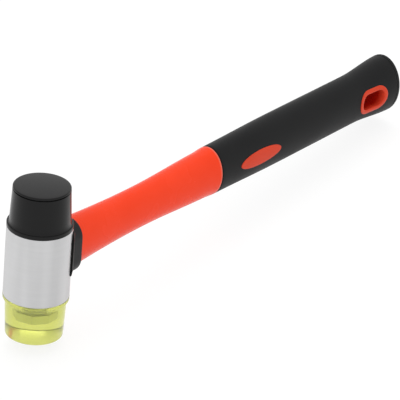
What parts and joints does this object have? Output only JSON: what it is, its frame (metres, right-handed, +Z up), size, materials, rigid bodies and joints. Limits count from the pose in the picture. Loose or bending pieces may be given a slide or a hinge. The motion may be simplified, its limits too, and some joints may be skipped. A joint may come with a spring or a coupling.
{
  "type": "soft face hammer",
  "caption": "Soft face hammer: steel tube head with screw-on rubber and translucent faces, and a jacketed fibre rod handle with a rubber grip and a hanging eye.",
  "frame": {"origin": "centre of the lower striking face", "axes": "+Z up the head's axis to the upper face, +X along the handle to its end"},
  "size_m": [0.3183, 0.035, 0.0867],
  "materials": {
    "satin_steel": "satin turned",
    "core_plastic": "moulded",
    "plated_steel": "zinc plated",
    "collar_plastic": "satin",
    "fibre_rod": "pultruded",
    "jacket_plastic": "glossy",
    "grip_rubber": "matte",
    "face_rubber": "satin",
    "clear_plastic": "translucent"
  },
  "bodies": {
    "head": {"head_tube": "satin_steel", "head_core": "core_plastic", "upper_nut": "plated_steel", "lower_nut": "plated_steel", "handle_pin": "plated_steel", "collar": "collar_plastic", "handle_rod": "fibre_rod", "handle_jacket": "jacket_plastic", "grip": "grip_rubber"},
    "upper_washer": {"upper_washer": "plated_steel"},
    "upper_face": {"upper_face": "face_rubber", "upper_bolt": "plated_steel"},
    "lower_washer": {"lower_washer": "plated_steel"},
    "lower_face": {"lower_face": "clear_plastic", "lower_bolt": "plated_steel"}
  },
  "joints": [
    {"name": "upper_slide", "type": "slide", "parent": "head", "child": "upper_washer", "axis": [0, 0, 1], "range_m": [0, 0.00501]},
    {"name": "upper_turn", "type": "hinge", "parent": "upper_washer", "child": "upper_face", "pos_m": [0, 0, 0.0867], "axis": [0, 0, 1], "range_deg": [0, 1440]},
    {"name": "lower_slide", "type": "slide", "parent": "head", "child": "lower_washer", "axis": [0, 0, -1], "range_m": [0, 0.00501]},
    {"name": "lower_turn", "type": "hinge", "parent": "lower_washer", "child": "lower_face", "pos_m": [0, 0, 0], "axis": [0, 0, -1], "range_deg": [0, 1440]}
  ],
  "couplings": [
    {"joint": "upper_slide", "follows": "upper_turn", "m_per_rad": 0.00019894},
    {"joint": "lower_slide", "follows": "lower_turn", "m_per_rad": 0.00019894}
  ]
}
